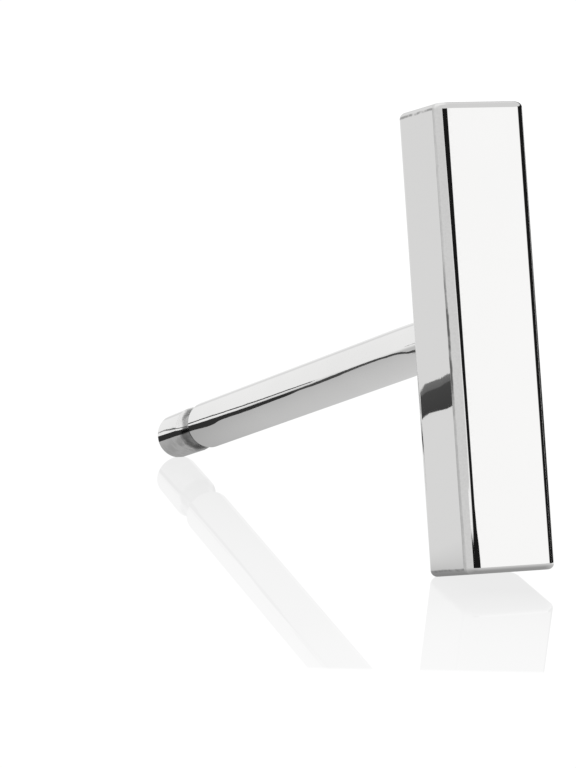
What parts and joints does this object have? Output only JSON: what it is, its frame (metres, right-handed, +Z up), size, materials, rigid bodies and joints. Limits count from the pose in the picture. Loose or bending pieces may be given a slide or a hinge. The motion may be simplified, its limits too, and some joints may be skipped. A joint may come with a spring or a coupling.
{
  "type": "bar earring",
  "caption": "Straight square-section silver bar stud with a grooved round post soldered to the middle of its back.",
  "frame": {"origin": "on the surface the earring rests on, in the middle of its width and of its whole length from the front of the bar to the end of the post", "axes": "+Z up from the surface, -Y the way the polished front of the bar faces, +Y the way the post runs back, +X to the right as seen from the front; the bar leans back by 12 degrees because it stands on its back lower edge and on the rim at the end of the post, each with a flat a few hundredths of a millimetre wide"},
  "size_m": [0.0016, 0.013, 0.0071],
  "materials": {
    "silver": "mirror-polished sterling silver"
  },
  "bodies": {
    "root": {"bar_stud": "silver"}
  },
  "joints": []
}
